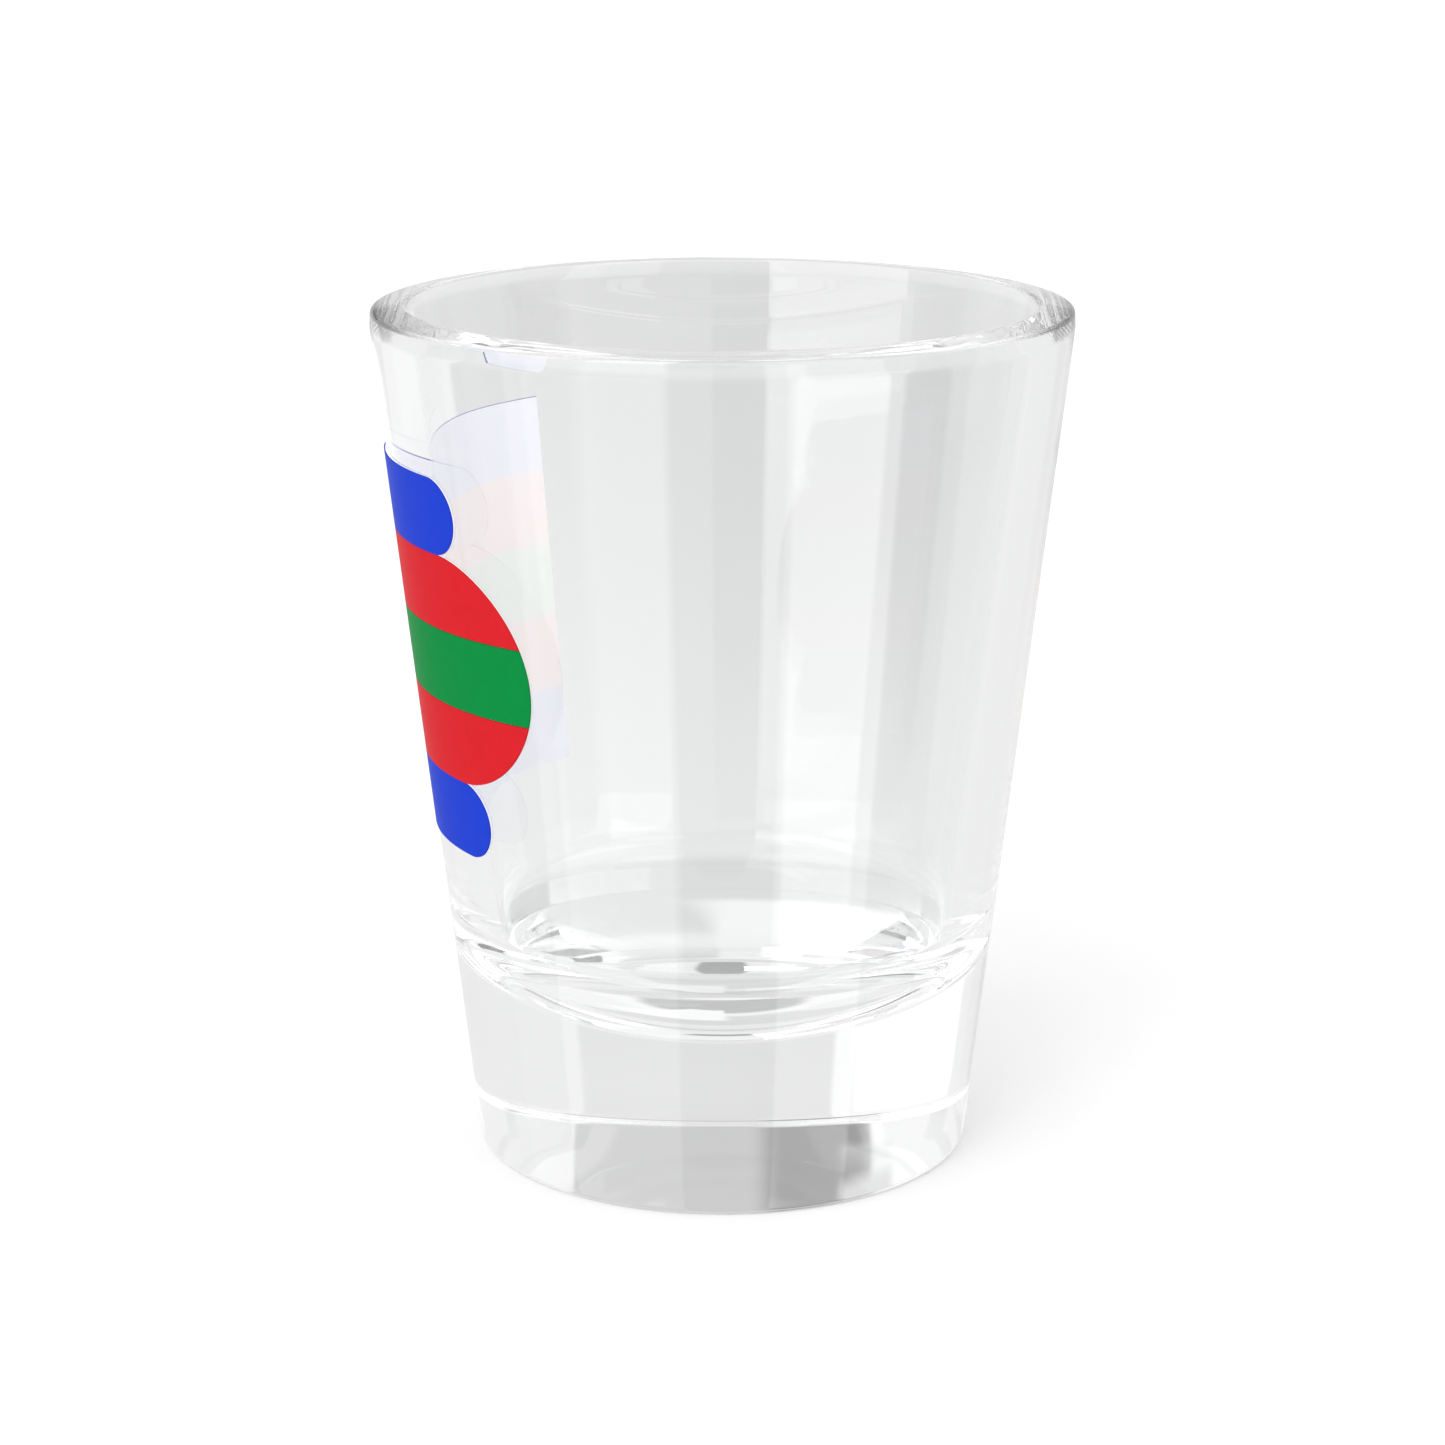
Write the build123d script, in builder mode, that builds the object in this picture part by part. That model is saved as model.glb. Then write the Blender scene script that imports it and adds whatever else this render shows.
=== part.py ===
"""Souvenir shot glass: a pressed clear glass with a five-stripe print fired onto its wall.

Millimetres, +Z up. The origin is the centre of the face that the glass stands on, and the print
is centred on the front, -Y.
"""
import os
from math import acos, asin, cos, degrees, radians, sin, sqrt

from build123d import *

# Glass: one pressed piece with a straight conical wall and a heavy solid base.
HEIGHT = 60.0
RIM_RADIUS = 24.25  # outer wall produced up to the rim plane
BASE_RADIUS = 17.4  # outer wall produced down to the resting plane
WALL_AT_RIM = 2.7
WALL_AT_FLOOR = 3.35  # cavity wall produced down to the level of the floor
FLOOR_HEIGHT = 10.0  # thickness of the solid base under the middle of the cavity
BOWL_HEIGHT = 8.3  # the cavity closes below its wall as half an ellipsoid of this depth
LIP_RADIUS = 24.03  # outer edge of the lip, drawn in from the wall
LIP_SHOULDER_DROP = 1.5  # where the wall starts to draw in, below the rim
LIP_FALL = 0.3  # how much lower the lip's outer edge is than the rim
LIP_PEAK = 0.045  # what rounding takes off the lip's inner edge, the highest of the glass
LIP_ROUND = 0.35
SHOULDER_ROUND = 3.0
HEEL_ROUND = 0.6

# Print: five level stripes of one height over one white film.
STRIPE_HEIGHT = 5.31
STRIPE_COUNT = 5
PRINT_BOTTOM = 23.65
PRINT_SPAN = 103.6  # degrees of the wall, from the straight end to the tip of the middle lobe
BASE_FILM = 0.08  # thickness of the white film
INK_FILM = 0.08  # thickness of a coloured stripe
BASE_FILM_INSET = 0.03  # how far the white film stays inside the stripes' outline

# Each row is a stripe from the bottom up: its name and the lobe that rounds its right-hand end.
# A lobe is named by the stripes that it rounds off together, as (first, last).
STRIPES = (
    ("stripe_blue_bottom", (0, 0)),
    ("stripe_red_lower", (1, 3)),
    ("stripe_green", (1, 3)),
    ("stripe_red_upper", (1, 3)),
    ("stripe_blue_top", (4, 4)),
)

WALL_SLOPE = (RIM_RADIUS - BASE_RADIUS) / HEIGHT
PRINT_MIDDLE = PRINT_BOTTOM + STRIPE_COUNT * STRIPE_HEIGHT / 2
MIDDLE_LOBE_RADIUS = 1.5 * STRIPE_HEIGHT


def wall_radius(z):
    """Outer radius of the conical wall at height z."""
    return BASE_RADIUS + WALL_SLOPE * z


# Angles go round the glass in degrees from the front, -Y, towards +X.
STRAIGHT_END = -PRINT_SPAN / 2
LOBE_CENTRE = PRINT_SPAN / 2 - degrees(asin(MIDDLE_LOBE_RADIUS / wall_radius(PRINT_MIDDLE)))
BAND_SWEEP = LOBE_CENTRE - STRAIGHT_END + 30.0  # past every lobe, before the end is cut


def outward(angle):
    """Unit vector from the axis towards the wall at an angle from the front."""
    return (sin(radians(angle)), -cos(radians(angle)), 0)


def along(angle):
    """Unit vector along the wall at an angle from the front, towards growing angles."""
    return (cos(radians(angle)), sin(radians(angle)), 0)


def lobe(first, last):
    """Height of the centre and radius of the lobe that rounds off stripes first to last."""
    radius = (last - first + 1) * STRIPE_HEIGHT / 2
    return PRINT_BOTTOM + first * STRIPE_HEIGHT + radius, radius


def printed_film(z_low, z_high, lift, thickness, lobes):
    """A thin band on the wall from z_low to z_high, lift off the glass, its right end cut to lobes."""
    section_plane = Plane((0, 0, 0), x_dir=outward(STRAIGHT_END), z_dir=[-v for v in along(STRAIGHT_END)])
    end_plane = Plane((0, 0, 0), x_dir=along(LOBE_CENTRE), z_dir=outward(LOBE_CENTRE))
    low = wall_radius(z_low) + lift
    high = wall_radius(z_high) + lift
    with BuildPart() as film:
        with BuildSketch(section_plane):
            with BuildLine():
                Polyline(
                    (low, z_low),
                    (low + thickness, z_low),
                    (high + thickness, z_high),
                    (high, z_high),
                    close=True,
                )
            make_face()
        revolve(axis=Axis.Z, revolution_arc=BAND_SWEEP)
        with BuildSketch(end_plane):
            with Locations((RIM_RADIUS / 2, HEIGHT / 2)):
                Rectangle(RIM_RADIUS, HEIGHT)
            for centre, radius in lobes:
                with Locations((0, centre)):
                    Circle(radius, mode=Mode.SUBTRACT)
        extrude(amount=2 * RIM_RADIUS, mode=Mode.SUBTRACT)
    return film


def save(piece, name):
    """Label a finished piece and write its STEP file."""
    piece.part.label = name
    export_step(piece.part, f"parts/{name}.step")


os.makedirs("parts", exist_ok=True)

# The cavity is a cone that runs tangent into an elliptical bowl.
cavity_rim_radius = RIM_RADIUS - WALL_AT_RIM
cavity_floor_radius = wall_radius(FLOOR_HEIGHT) - WALL_AT_FLOOR
cavity_slope = (cavity_rim_radius - cavity_floor_radius) / (HEIGHT - FLOOR_HEIGHT)
bowl_middle = FLOOR_HEIGHT + BOWL_HEIGHT
cone_at_bowl = cavity_floor_radius + cavity_slope * BOWL_HEIGHT
bowl_radius = sqrt(cone_at_bowl**2 - (cavity_slope * BOWL_HEIGHT) ** 2)
tangent_angle = degrees(acos(bowl_radius / cone_at_bowl))

# The glass body is its half section turned about Z, with the corners of the section rounded.
heel = (BASE_RADIUS, 0)
shoulder = (wall_radius(HEIGHT - LIP_SHOULDER_DROP), HEIGHT - LIP_SHOULDER_DROP)
lip_outer = (LIP_RADIUS, HEIGHT - LIP_FALL)
lip_inner = (cavity_rim_radius, HEIGHT + LIP_PEAK)
with BuildPart() as glass_body:
    with BuildSketch(Plane.XZ) as half_section:
        with BuildLine():
            bowl = EllipticalCenterArc(
                (0, bowl_middle), bowl_radius, BOWL_HEIGHT, start_angle=270, arc_size=90 - tangent_angle
            )
            Polyline(bowl @ 1, lip_inner, lip_outer, shoulder, heel, (0, 0), bowl @ 0)
        make_face()
        rounds = (
            (heel, HEEL_ROUND),
            (shoulder, SHOULDER_ROUND),
            (lip_outer, LIP_ROUND),
            (lip_inner, LIP_ROUND),
        )
        for corner, radius in rounds:
            fillet(half_section.vertices().sort_by_distance(corner)[0], radius)
    revolve(axis=Axis.Z)
save(glass_body, "glass_body")

# The white film lies on the glass under all five stripes, a little inside their outline.
film_lobes = [lobe(0, 0), lobe(1, 3), lobe(4, 4)]
print_white_base = printed_film(
    PRINT_BOTTOM + BASE_FILM_INSET,
    PRINT_BOTTOM + STRIPE_COUNT * STRIPE_HEIGHT - BASE_FILM_INSET,
    0,
    BASE_FILM,
    [(centre, radius - BASE_FILM_INSET) for centre, radius in film_lobes],
)
save(print_white_base, "print_white_base")

# The stripes lie side by side on the white film.
for index, (name, rounded_with) in enumerate(STRIPES):
    bottom = PRINT_BOTTOM + index * STRIPE_HEIGHT
    stripe = printed_film(bottom, bottom + STRIPE_HEIGHT, BASE_FILM, INK_FILM, [lobe(*rounded_with)])
    save(stripe, name)
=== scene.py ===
"""Souvenir shot glass: the looks, in metres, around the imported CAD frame.

The glass is a fine lathe mesh and each printed film is a thin curved sheet on its wall. A procedural
studio lights them. Angles round the glass run in degrees from the front, -Y, towards +X.
"""
import bpy
import math
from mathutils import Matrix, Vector


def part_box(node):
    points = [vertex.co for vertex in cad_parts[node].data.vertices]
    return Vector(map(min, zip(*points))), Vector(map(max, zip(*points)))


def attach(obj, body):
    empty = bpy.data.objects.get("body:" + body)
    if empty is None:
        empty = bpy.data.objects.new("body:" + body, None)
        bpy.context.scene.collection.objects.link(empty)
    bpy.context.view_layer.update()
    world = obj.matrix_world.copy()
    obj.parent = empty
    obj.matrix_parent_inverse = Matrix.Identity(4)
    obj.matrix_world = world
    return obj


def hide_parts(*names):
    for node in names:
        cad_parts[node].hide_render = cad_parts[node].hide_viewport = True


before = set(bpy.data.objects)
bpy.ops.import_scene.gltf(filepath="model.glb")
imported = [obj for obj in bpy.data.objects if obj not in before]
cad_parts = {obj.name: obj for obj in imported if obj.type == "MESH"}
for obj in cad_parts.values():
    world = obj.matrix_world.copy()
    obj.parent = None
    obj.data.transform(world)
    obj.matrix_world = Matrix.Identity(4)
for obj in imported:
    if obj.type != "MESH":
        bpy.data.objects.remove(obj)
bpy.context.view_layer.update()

# ---------------------------------------------------------------- sizes, from the frame
MM = 0.001
print_low, print_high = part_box("stripe_blue_bottom")[0][2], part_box("stripe_blue_top")[1][2]
STRIPE_HEIGHT = (print_high - print_low) / 5

# The glass's section: the same driving sizes as the CAD part.
HEIGHT = 60.0 * MM
RIM_RADIUS = 24.25 * MM
BASE_RADIUS = 17.4 * MM
WALL_AT_RIM = 2.7 * MM
WALL_AT_FLOOR = 3.35 * MM
FLOOR_HEIGHT = 10.0 * MM
BOWL_HEIGHT = 8.3 * MM
LIP_RADIUS = 24.03 * MM
LIP_SHOULDER_DROP = 1.5 * MM
LIP_FALL = 0.3 * MM
LIP_PEAK = 0.045 * MM
LIP_ROUND = 0.35 * MM
SHOULDER_ROUND = 3.0 * MM
HEEL_ROUND = 0.6 * MM
PRINT_SPAN = 103.6
BASE_FILM = 0.08 * MM
INK_FILM = 0.08 * MM
BASE_FILM_INSET = 0.03 * MM
AIR_GAP = 0.004 * MM  # keeps the film's face off the glass's face

WALL_SLOPE = (RIM_RADIUS - BASE_RADIUS) / HEIGHT


def wall_radius(z):
    """Outer radius of the conical wall at height z."""
    return BASE_RADIUS + WALL_SLOPE * z


MIDDLE_LOBE = 1.5 * STRIPE_HEIGHT
PRINT_MIDDLE = (print_low + print_high) / 2
STRAIGHT_END = -PRINT_SPAN / 2
LOBE_CENTRE = PRINT_SPAN / 2 - math.degrees(math.asin(MIDDLE_LOBE / wall_radius(PRINT_MIDDLE)))


# ---------------------------------------------------------------- meshes
def new_object(name, vertices, faces):
    """A smooth-shaded mesh object in the scene."""
    mesh = bpy.data.meshes.new(name)
    mesh.from_pydata(vertices, [], faces)
    mesh.validate()
    mesh.update()
    mesh.shade_smooth()
    obj = bpy.data.objects.new(name, mesh)
    bpy.context.scene.collection.objects.link(obj)
    return obj


def rounded(corner, before, after, radius, steps):
    """Points of the arc that rounds a corner of a polyline, from the side of before to that of after."""
    corner, before, after = Vector(corner), Vector(before), Vector(after)
    to_before = (before - corner).normalized()
    to_after = (after - corner).normalized()
    half = to_before.angle(to_after) / 2
    centre = corner + (to_before + to_after).normalized() * (radius / math.sin(half))
    start = corner + to_before * (radius / math.tan(half)) - centre
    end = corner + to_after * (radius / math.tan(half)) - centre
    sweep = math.pi - 2 * half
    points = []
    for i in range(steps + 1):
        t = i / steps
        arc = start * math.sin((1 - t) * sweep) + end * math.sin(t * sweep)
        points.append(centre + arc / math.sin(sweep))
    return points


def stretch(start, end, longest):
    """Points between two ends, the ends left out, no further apart than longest."""
    count = math.ceil((Vector(end) - Vector(start)).length / longest)
    return [Vector(start).lerp(Vector(end), i / count) for i in range(1, count)]


def bowl_arc(steps):
    """The cavity's elliptical bowl as points from where its wall ends, tangent, to next to the axis."""
    floor_radius = wall_radius(FLOOR_HEIGHT) - WALL_AT_FLOOR
    slope = (RIM_RADIUS - WALL_AT_RIM - floor_radius) / (HEIGHT - FLOOR_HEIGHT)
    cone_at_bowl = floor_radius + slope * BOWL_HEIGHT
    bowl_radius = math.sqrt(cone_at_bowl**2 - (slope * BOWL_HEIGHT) ** 2)
    first = math.acos(bowl_radius / cone_at_bowl)
    points = []
    for i in range(steps):
        turn = first + (math.pi / 2 - first) * i / steps
        points.append(
            Vector((bowl_radius * math.cos(turn), FLOOR_HEIGHT + BOWL_HEIGHT * (1 - math.sin(turn))))
        )
    return points


def glass_section():
    """The glass's half section as (radius, height) points, from under the base round to the cavity floor."""
    under = (0.0, 0.0)
    heel = (BASE_RADIUS, 0.0)
    shoulder = (wall_radius(HEIGHT - LIP_SHOULDER_DROP), HEIGHT - LIP_SHOULDER_DROP)
    lip_outer = (LIP_RADIUS, HEIGHT - LIP_FALL)
    lip_inner = (RIM_RADIUS - WALL_AT_RIM, HEIGHT + LIP_PEAK)
    bowl = bowl_arc(60)
    arcs = [
        rounded(heel, under, shoulder, HEEL_ROUND, 10),
        rounded(shoulder, heel, lip_outer, SHOULDER_ROUND, 6),
        rounded(lip_outer, shoulder, lip_inner, LIP_ROUND, 12),
        rounded(lip_inner, lip_outer, bowl[0], LIP_ROUND, 12),
        bowl,
    ]
    longest = 2.0 * MM
    section = stretch(under, arcs[0][0], longest)
    for arc, following in zip(arcs, arcs[1:]):
        section += arc + stretch(arc[-1], following[0], longest)
    return section + bowl


def lathe(name, section, bottom_height, top_height, segments):
    """A closed solid of revolution: the section turned about Z, and a point on the axis at each end."""
    vertices = [(0, 0, bottom_height)]
    for point in section:
        for i in range(segments):
            angle = 2 * math.pi * i / segments
            vertices.append((point[0] * math.cos(angle), point[0] * math.sin(angle), point[1]))
    vertices.append((0, 0, top_height))
    last_ring = 1 + (len(section) - 1) * segments
    faces = []
    for i in range(segments):
        j = (i + 1) % segments
        faces.append((0, 1 + j, 1 + i))
        for ring in range(len(section) - 1):
            a = 1 + ring * segments
            b = a + segments
            faces.append((a + i, a + j, b + j, b + i))
        faces.append((last_ring + i, last_ring + j, len(vertices) - 1))
    return new_object(name, vertices, faces)


def film(name, rows, end_angle, lift, thickness):
    """A closed thin sheet on the wall over rows of heights, from the straight end to end_angle(z)."""
    columns = 96
    chamfer = 0.03 * MM
    vertices = []
    faces = []
    for layer, (height_off, inset) in enumerate(((lift, 0.0), (lift + thickness, chamfer))):
        for r, z in enumerate(rows):
            z_in = z + (inset if r == 0 else -inset if r == len(rows) - 1 else 0.0)
            radius = wall_radius(z_in) + height_off
            inset_angle = math.degrees(inset / radius)
            start = STRAIGHT_END + inset_angle
            end = end_angle(z) - inset_angle
            for c in range(columns + 1):
                angle = math.radians(start + (end - start) * c / columns)
                vertices.append((radius * math.sin(angle), -radius * math.cos(angle), z_in))
    row_length = columns + 1
    layer_size = row_length * len(rows)

    def at(layer, r, c):
        return layer * layer_size + r * row_length + c

    for r in range(len(rows) - 1):
        for c in range(columns):
            inner = (at(0, r, c), at(0, r + 1, c), at(0, r + 1, c + 1), at(0, r, c + 1))
            outer = (at(1, r, c), at(1, r, c + 1), at(1, r + 1, c + 1), at(1, r + 1, c))
            faces += [inner, outer]
        for c, flip in ((0, False), (columns, True)):
            side = (at(0, r, c), at(1, r, c), at(1, r + 1, c), at(0, r + 1, c))
            faces.append(side[::-1] if flip else side)
    for c in range(columns):
        for r, flip in ((0, True), (len(rows) - 1, False)):
            edge = (at(0, r, c), at(1, r, c), at(1, r, c + 1), at(0, r, c + 1))
            faces.append(edge[::-1] if flip else edge)
    obj = new_object(name, vertices, faces)
    mark_sharp_edges(obj)
    return obj


def mark_sharp_edges(obj):
    """Shades a thin sheet's faces smooth and keeps its borders crisp."""
    obj.data.set_sharp_from_angle(angle=math.radians(30))


def lobe(first, last):
    """Centre height and radius of the lobe that rounds off stripes first to last, counted from below."""
    radius = (last - first + 1) * STRIPE_HEIGHT / 2
    return print_low + first * STRIPE_HEIGHT + radius, radius


def lobe_end(lobes):
    """How far round the glass a film reaches at a height, in degrees."""
    def end_angle(z):
        reach = 0.0
        for centre, radius in lobes:
            reach = max(reach, math.sqrt(max(radius**2 - (z - centre) ** 2, 0.0)))
        return LOBE_CENTRE + math.degrees(math.asin(reach / wall_radius(z)))
    return end_angle


def lobe_rows(centre, radius, z_low, z_high, count):
    """Heights from z_low to z_high, closer together where the lobe's outline turns."""
    first = math.acos(max(-1.0, min(1.0, (centre - z_low) / radius)))
    last = math.acos(max(-1.0, min(1.0, (centre - z_high) / radius)))
    return [centre - radius * math.cos(first + (last - first) * i / count) for i in range(count + 1)]


# ---------------------------------------------------------------- materials
GLASS_IOR = 1.52
GLASS_TINTS = ((0.954, 0.96, 0.959), (0.966, 0.97, 0.969))
LAMP_THROUGH_BASE = (0.68, 0.68, 0.68)  # what the glass passes of a lamp's light
LAMP_THROUGH_WALL = (0.88, 0.88, 0.88)
INK_SPECULAR = 0.005
FILM_PAINTED_LIGHT = 0.64  # painted light: strength of the film's emission, which stands for light from outside that comes through the ink
PAINTED_LIGHT_WHITE_SHARE = 0.86  # the painted light's colour is this much white plus the share below of the ink over it
PAINTED_LIGHT_INK_SHARE = 0.28
FILM_GREYS = ((0.56, 0.56, 0.56), (0.62, 0.62, 0.62))


def node_material(name):
    """A new node material, its Principled shader and its tree."""
    material = bpy.data.materials.new(name)
    material.use_nodes = True
    tree = material.node_tree
    return material, tree, tree.nodes["Principled BSDF"]


def noise(tree, scale, detail=3.0, stretch_by=(1, 1, 1)):
    """A noise texture in object space, its scale per metre."""
    place = tree.nodes.new("ShaderNodeTexCoord")
    mapping = tree.nodes.new("ShaderNodeMapping")
    mapping.inputs["Scale"].default_value = stretch_by
    texture = tree.nodes.new("ShaderNodeTexNoise")
    texture.inputs["Scale"].default_value = scale
    texture.inputs["Detail"].default_value = detail
    tree.links.new(place.outputs["Object"], mapping.inputs["Vector"])
    tree.links.new(mapping.outputs["Vector"], texture.inputs["Vector"])
    return texture.outputs["Fac"]


def spread(tree, value, low, high):
    """Maps a 0 to 1 value to low to high."""
    node = tree.nodes.new("ShaderNodeMapRange")
    node.inputs["To Min"].default_value = low
    node.inputs["To Max"].default_value = high
    tree.links.new(value, node.inputs["Value"])
    return node.outputs["Result"]


def bump(tree, value, height, shader):
    """Raises the surface by value times height, in metres."""
    node = tree.nodes.new("ShaderNodeBump")
    node.inputs["Distance"].default_value = height
    node.inputs["Strength"].default_value = 1.0
    tree.links.new(value, node.inputs["Height"])
    tree.links.new(node.outputs["Normal"], shader.inputs["Normal"])


def two_tone(tree, value, first, second):
    """Mixes two colours by a 0 to 1 value."""
    node = tree.nodes.new("ShaderNodeMix")
    node.data_type = "RGBA"
    node.inputs["A"].default_value = (*first, 1)
    node.inputs["B"].default_value = (*second, 1)
    tree.links.new(value, node.inputs["Factor"])
    return node.outputs["Result"]


def height_fraction(tree, low, high):
    """0 at the height low and below it, 1 at high and above, in object space."""
    place = tree.nodes.new("ShaderNodeTexCoord")
    split = tree.nodes.new("ShaderNodeSeparateXYZ")
    height = tree.nodes.new("ShaderNodeMapRange")
    height.inputs["From Min"].default_value = low
    height.inputs["From Max"].default_value = high
    tree.links.new(place.outputs["Object"], split.inputs["Vector"])
    tree.links.new(split.outputs["Z"], height.inputs["Value"])
    return height.outputs["Result"]


def glass_material():
    """Clear glass with faint drawing waves. Lamps shine through it, least through the solid base."""
    material, tree, shader = node_material("clear_glass")
    shader.inputs["Transmission Weight"].default_value = 1.0
    shader.inputs["IOR"].default_value = GLASS_IOR
    body = noise(tree, 45.0)
    tree.links.new(two_tone(tree, body, *GLASS_TINTS), shader.inputs["Base Color"])
    tree.links.new(spread(tree, noise(tree, 120.0), 0.0, 0.012), shader.inputs["Roughness"])
    bump(tree, noise(tree, 60.0, 1.0, (1, 1, 0.35)), 0.0015 * MM, shader)
    clear = tree.nodes.new("ShaderNodeBsdfTransparent")
    through = height_fraction(tree, FLOOR_HEIGHT, FLOOR_HEIGHT + BOWL_HEIGHT)
    tree.links.new(two_tone(tree, through, LAMP_THROUGH_BASE, LAMP_THROUGH_WALL), clear.inputs["Color"])
    light_path = tree.nodes.new("ShaderNodeLightPath")
    mix = tree.nodes.new("ShaderNodeMixShader")
    tree.links.new(light_path.outputs["Is Shadow Ray"], mix.inputs["Fac"])
    tree.links.new(shader.outputs["BSDF"], mix.inputs[1])
    tree.links.new(clear.outputs["BSDF"], mix.inputs[2])
    tree.links.new(mix.outputs["Shader"], tree.nodes["Material Output"].inputs["Surface"])
    return material


def ink_material(name, colour):
    """Fired ceramic ink: an even colour with a fine screen grain and almost no gloss."""
    material, tree, shader = node_material(name)
    darker = [0.9 * c for c in colour]
    tree.links.new(two_tone(tree, noise(tree, 900.0), darker, colour), shader.inputs["Base Color"])
    tree.links.new(spread(tree, noise(tree, 2500.0), 0.3, 0.42), shader.inputs["Roughness"])
    shader.inputs["Specular IOR Level"].default_value = INK_SPECULAR
    bump(tree, noise(tree, 3500.0, 2.0), 0.004 * MM, shader)
    return material


def white_film_with_painted_light_material(inks):
    """White ink with painted light: an emission, palely tinted by the stripe over it, stands for light from
    outside that comes through the ink.
    """
    material, tree, shader = node_material("white_ink")
    ramp = tree.nodes.new("ShaderNodeValToRGB")
    ramp.color_ramp.interpolation = "CONSTANT"
    for i, ink in enumerate(inks):
        stop = ramp.color_ramp.elements[i] if i < 2 else ramp.color_ramp.elements.new(1.0)
        stop.position = i / len(inks)
        stop.color = (*[PAINTED_LIGHT_WHITE_SHARE + PAINTED_LIGHT_INK_SHARE * c for c in ink], 1)
    tree.links.new(height_fraction(tree, print_low, print_high), ramp.inputs["Fac"])
    # painted light: each stripe's pale tint feeds the film's emission colour
    tree.links.new(ramp.outputs["Color"], shader.inputs["Emission Color"])
    shader.inputs["Emission Strength"].default_value = FILM_PAINTED_LIGHT
    white = two_tone(tree, noise(tree, 1500.0), *FILM_GREYS)
    tree.links.new(white, shader.inputs["Base Color"])
    tree.links.new(spread(tree, noise(tree, 2000.0), 0.4, 0.5), shader.inputs["Roughness"])
    bump(tree, noise(tree, 3000.0, 2.0), 0.003 * MM, shader)
    return material


# ---------------------------------------------------------------- the object
BLUE = (0.013, 0.042, 0.47)
RED = (0.52, 0.015, 0.021)
GREEN = (0.004, 0.2, 0.042)

glass = lathe("glass", glass_section(), 0.0, FLOOR_HEIGHT, 360)
glass.data.materials.append(glass_material())
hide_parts("glass_body")
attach(glass, "root")

STRIPES = (
    ("stripe_blue_bottom", (0, 0), "blue_ink"),
    ("stripe_red_lower", (1, 3), "red_ink"),
    ("stripe_green", (1, 3), "green_ink"),
    ("stripe_red_upper", (1, 3), "red_ink"),
    ("stripe_blue_top", (4, 4), "blue_ink"),
)
INK_COLOURS = {"blue_ink": BLUE, "red_ink": RED, "green_ink": GREEN}
inks = {slot: ink_material(slot, colour) for slot, colour in INK_COLOURS.items()}
for index, (node, rounded_with, slot) in enumerate(STRIPES):
    z_low = print_low + index * STRIPE_HEIGHT
    centre, radius = lobe(*rounded_with)
    rows = lobe_rows(centre, radius, z_low, z_low + STRIPE_HEIGHT, 40)
    stripe = film(node.replace("stripe", "ink"), rows, lobe_end([(centre, radius)]), BASE_FILM, INK_FILM)
    stripe.data.materials.append(inks[slot])
    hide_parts(node)
    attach(stripe, "root")

inset_lobes = [(centre, radius - BASE_FILM_INSET) for centre, radius in (lobe(0, 0), lobe(1, 3), lobe(4, 4))]
white_rows = []
for centre, radius in inset_lobes:
    white_rows += lobe_rows(centre, radius, centre - radius, centre + radius, 60)
white = film("white_ink_film", white_rows, lobe_end(inset_lobes), AIR_GAP, BASE_FILM - AIR_GAP)
white.data.materials.append(white_film_with_painted_light_material([INK_COLOURS[slot] for _, _, slot in STRIPES]))
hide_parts("print_white_base")
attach(white, "root")

# ---------------------------------------------------------------- camera
CAMERA_ANGLE = 87.15  # degrees round the glass from the front
CAMERA_DISTANCE = 249.8 * MM  # from the axis
CAMERA_HEIGHT = 96.4 * MM
CAMERA_PITCH = 14.86  # degrees below level
CAMERA_LENS = 91.4  # mm, on a 36 mm sensor


def outward(angle):
    """Unit vector from the axis at an angle from the front."""
    return Vector((math.sin(math.radians(angle)), -math.cos(math.radians(angle)), 0))


def add_camera():
    """The photograph's camera, looking down at the glass from its right-hand side."""
    data = bpy.data.cameras.new("camera")
    data.lens = CAMERA_LENS
    data.sensor_width = 36.0
    data.clip_start = 0.01
    camera = bpy.data.objects.new("camera", data)
    camera.location = outward(CAMERA_ANGLE) * CAMERA_DISTANCE + Vector((0, 0, CAMERA_HEIGHT))
    down = math.radians(CAMERA_PITCH)
    look = -outward(CAMERA_ANGLE) * math.cos(down) - Vector((0, 0, math.sin(down)))
    camera.rotation_euler = look.to_track_quat("-Z", "Y").to_euler()
    bpy.context.scene.collection.objects.link(camera)
    bpy.context.scene.camera = camera


add_camera()


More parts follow.
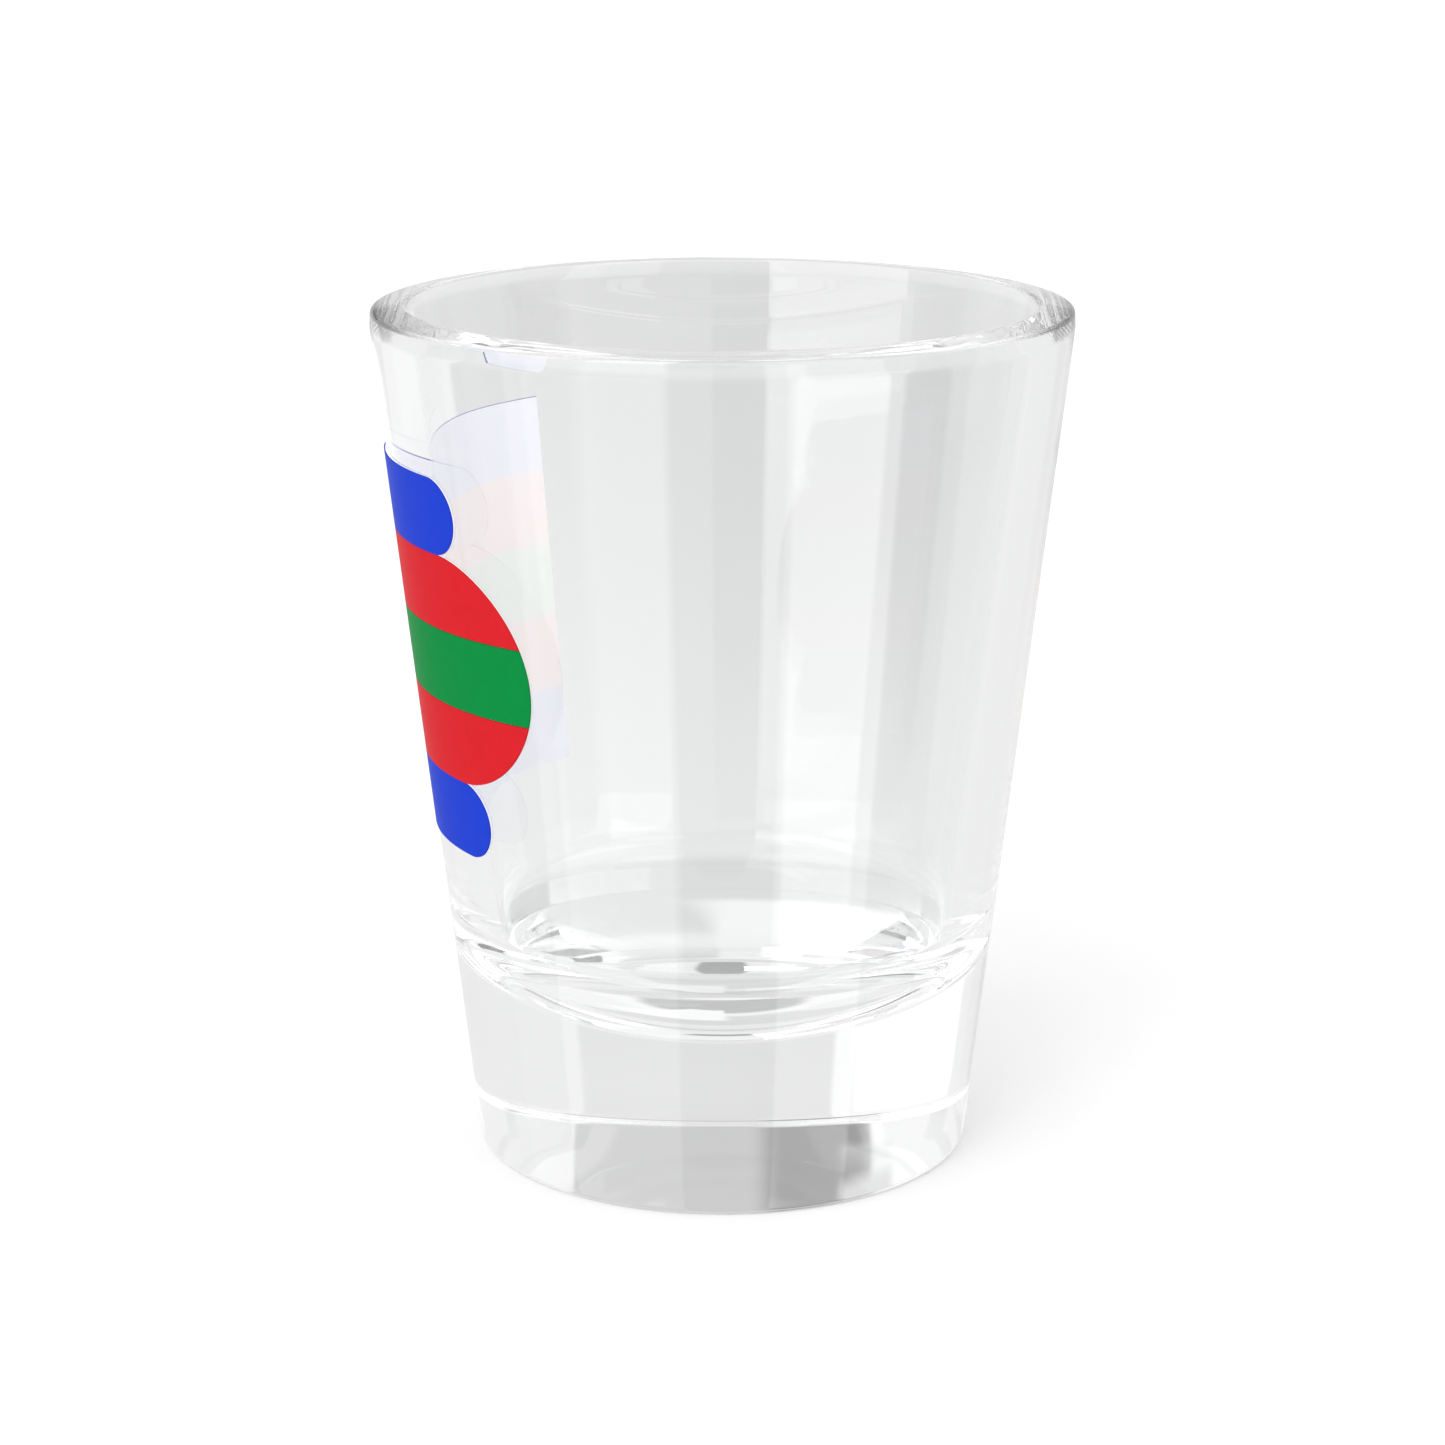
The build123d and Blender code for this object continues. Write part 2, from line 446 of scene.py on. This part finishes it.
# ---------------------------------------------------------------- studio
# Each panel of the studio: its middle as degrees from the camera, growing towards the picture's
# right, its width, its lowest and highest elevation, how soft its sides and its ends are in
# degrees, and its brightness. A panel covers the ones listed before it.
PANELS = (
    ("under_glass", 0.0, 400.0, -100.0, -68.0, 6.0, 6.0, 0.55),
    ("overhead_gap", 0.0, 44.0, 50.0, 76.0, 8.0, 8.0, 0.4),
    ("left_gap", -97.0, 26.0, -12.0, 24.0, 6.0, 6.0, 0.7),
    ("camera_gap", -8.0, 24.0, -3.0, 22.0, 2.0, 2.0, 0.3),
    ("camera_gap_above", 22.0, 52.0, 5.5, 22.0, 4.0, 3.0, 0.45),
    ("soft_box", -46.5, 57.0, -5.0, 60.0, 1.2, 1.2, 1.85),
    ("soft_box_middle", -46.5, 57.0, 2.0, 16.0, 1.2, 6.0, 2.9),
    ("table_on_left", -86.0, 36.0, -55.0, -13.0, 2.5, 2.5, 1.1),
    ("soft_box_on_table", -48.0, 57.0, -55.0, -13.0, 2.5, 2.5, 2.0),
    ("reflector_on_table", 43.0, 38.0, -50.0, -8.0, 2.5, 2.5, 2.4),
    ("right_gap", 76.0, 26.0, -26.0, 4.0, 3.0, 3.0, 0.25),
    ("right_wall", 120.0, 60.0, -30.0, 50.0, 6.0, 6.0, 0.89),
    ("back_left", -141.5, 43.0, -60.0, 45.0, 2.0, 2.0, 0.98),
    ("table_back_left", -141.5, 43.0, -60.0, -17.0, 2.0, 4.0, 0.9),
    ("back_right", 146.0, 24.0, -60.0, 45.0, 2.0, 2.0, 0.88),
    ("back_low", 177.0, 40.0, -60.0, 8.0, 1.5, 1.5, 0.86),
    ("table_close_behind", 177.0, 40.0, -60.0, -31.0, 1.5, 8.0, 0.74),
    ("back_middle", 177.0, 40.0, -14.0, 8.5, 1.5, 8.0, 0.76),
    ("back_high", 180.0, 55.5, 8.0, 50.0, 1.5, 1.5, 0.6),
    ("back_high_left", -163.0, 20.0, 8.0, 30.0, 6.0, 4.0, 0.3),
    ("glow_behind", -153.0, 13.0, 12.0, 21.4, 3.0, 1.2, 0.75),
    ("table_behind", -166.0, 30.0, -76.0, -48.0, 3.0, 3.0, 1.0),
)
AROUND = 0.95  # brightness of what no panel covers
CEILING = 0.85
FLOOR_WHITE = (0.8, 0.8, 0.8)
FLOOR_GLOW = 0.16
KEY_ENERGY = 1.3
KEY_SPREAD = 30  # degrees
KEY_RISE = 36  # degrees above level
KEY_TURN = -25  # degrees round the glass from the camera
BOUNCES = 128


def math_node(tree, operation, first, second=None):
    """A math node on sockets or numbers; returns its result."""
    node = tree.nodes.new("ShaderNodeMath")
    node.operation = operation
    for socket, value in zip(node.inputs, (first, second)):
        if value is None:
            continue
        if isinstance(value, (int, float)):
            socket.default_value = value
        else:
            tree.links.new(value, socket)
    return node.outputs["Value"]


def inside(tree, value, half_width, softness):
    """1 where value is under half_width, 0 where it is over, with a soft edge."""
    node = tree.nodes.new("ShaderNodeMapRange")
    node.interpolation_type = "SMOOTHSTEP"
    node.inputs["From Min"].default_value = half_width - softness / 2
    node.inputs["From Max"].default_value = half_width + softness / 2
    node.inputs["To Min"].default_value = 1.0
    node.inputs["To Max"].default_value = 0.0
    tree.links.new(value, node.inputs["Value"])
    return node.outputs["Result"]


def panel_mask(tree, direction, middle, width, lowest, highest, side_softness, end_softness):
    """1 in the directions that a studio panel covers."""
    turn = tree.nodes.new("ShaderNodeVectorRotate")
    turn.rotation_type = "Z_AXIS"
    turn.inputs["Angle"].default_value = math.radians(90 - CAMERA_ANGLE - middle)
    split = tree.nodes.new("ShaderNodeSeparateXYZ")
    tree.links.new(direction, turn.inputs["Vector"])
    tree.links.new(turn.outputs["Vector"], split.inputs["Vector"])
    to_degrees = 180 / math.pi
    around = math_node(tree, "ABSOLUTE", math_node(tree, "ARCTAN2", split.outputs["Y"], split.outputs["X"]))
    above = math_node(tree, "ARCSINE", split.outputs["Z"])
    off_middle = math_node(tree, "MULTIPLY", around, to_degrees)
    elevation = math_node(tree, "MULTIPLY", above, to_degrees)
    off_height = math_node(tree, "ABSOLUTE", math_node(tree, "SUBTRACT", elevation, (lowest + highest) / 2))
    across = inside(tree, off_middle, width / 2, side_softness)
    upright = inside(tree, off_height, (highest - lowest) / 2, end_softness)
    return math_node(tree, "MULTIPLY", across, upright)


def build_studio():
    """The room that the glass mirrors and bends: light panels in a pale surround."""
    world = bpy.data.worlds.new("studio")
    world.use_nodes = True
    bpy.context.scene.world = world
    tree = world.node_tree
    direction = tree.nodes.new("ShaderNodeTexCoord").outputs["Generated"]
    light = AROUND
    for _, *shape, brightness in PANELS:
        mask = panel_mask(tree, direction, *shape)
        mix = tree.nodes.new("ShaderNodeMix")
        mix.data_type = "FLOAT"
        mix.inputs["B"].default_value = brightness
        tree.links.new(mask, mix.inputs["Factor"])
        if isinstance(light, float):
            mix.inputs["A"].default_value = light
        else:
            tree.links.new(light, mix.inputs["A"])
        light = mix.outputs["Result"]
    up = tree.nodes.new("ShaderNodeSeparateXYZ")
    tree.links.new(direction, up.inputs["Vector"])
    ceiling = tree.nodes.new("ShaderNodeMapRange")
    ceiling.interpolation_type = "SMOOTHSTEP"
    ceiling.inputs["From Min"].default_value = 0.94
    ceiling.inputs["From Max"].default_value = 0.98
    tree.links.new(up.outputs["Z"], ceiling.inputs["Value"])
    mix = tree.nodes.new("ShaderNodeMix")
    mix.data_type = "FLOAT"
    mix.inputs["B"].default_value = CEILING
    tree.links.new(ceiling.outputs["Result"], mix.inputs["Factor"])
    tree.links.new(light, mix.inputs["A"])
    tree.links.new(mix.outputs["Result"], tree.nodes["Background"].inputs["Strength"])
    tree.nodes["Background"].inputs["Color"].default_value = (1, 1, 1, 1)


def stage_material(name, colour, glow):
    """A matt pale material that also glows a little, for the floor and the backdrop."""
    material, tree, shader = node_material(name)
    shader.inputs["Base Color"].default_value = (*colour, 1)
    shader.inputs["Roughness"].default_value = 1.0
    shader.inputs["Specular IOR Level"].default_value = 0.0
    shader.inputs["Emission Color"].default_value = (1, 1, 1, 1)
    shader.inputs["Emission Strength"].default_value = glow
    return material


def build_stage():
    """A white floor under a white dome, which only the camera and the shadows see."""
    reach = 4.0
    sides = 128
    turns = [2 * math.pi * i / sides for i in range(sides)]
    ring = [(reach * math.cos(turn), reach * math.sin(turn), 0) for turn in turns]
    floor = new_object("floor", ring, [tuple(range(sides))])
    floor.data.materials.append(stage_material("floor_white", FLOOR_WHITE, FLOOR_GLOW))
    rows = 24
    vertices = []
    for r in range(rows + 1):
        rise = math.radians(90 * r / rows - 3)
        for turn in turns:
            flat = reach * math.cos(rise)
            vertices.append((flat * math.cos(turn), flat * math.sin(turn), reach * math.sin(rise)))
    faces = []
    for r in range(rows):
        for i in range(sides):
            j = (i + 1) % sides
            faces.append((r * sides + i, (r + 1) * sides + i, (r + 1) * sides + j, r * sides + j))
    dome = new_object("backdrop", vertices, faces)
    dome.data.materials.append(stage_material("backdrop_white", (0, 0, 0), 1.0))
    for obj in (floor, dome):
        obj.visible_transmission = False
        obj.visible_glossy = False
    dome.visible_diffuse = False
    dome.visible_shadow = False


def add_key_light():
    """A broad sun from above the soft box, for the pale shadow on the right."""
    data = bpy.data.lights.new("key", "SUN")
    data.energy = KEY_ENERGY
    data.angle = math.radians(KEY_SPREAD)
    key = bpy.data.objects.new("key", data)
    rise = math.radians(KEY_RISE)
    towards = outward(CAMERA_ANGLE + KEY_TURN) * math.cos(rise) + Vector((0, 0, math.sin(rise)))
    key.rotation_euler = towards.to_track_quat("Z", "Y").to_euler()
    key.visible_glossy = False
    key.visible_transmission = False
    bpy.context.scene.collection.objects.link(key)


def follow_light_in_glass():
    """Enough bounces for the light that the lip and the solid base pass on inside the glass."""
    cycles = bpy.context.scene.cycles
    cycles.max_bounces = BOUNCES
    cycles.glossy_bounces = BOUNCES
    cycles.transmission_bounces = BOUNCES


build_studio()
build_stage()
add_key_light()
follow_light_in_glass()
bpy.context.scene.view_settings.view_transform = "Standard"
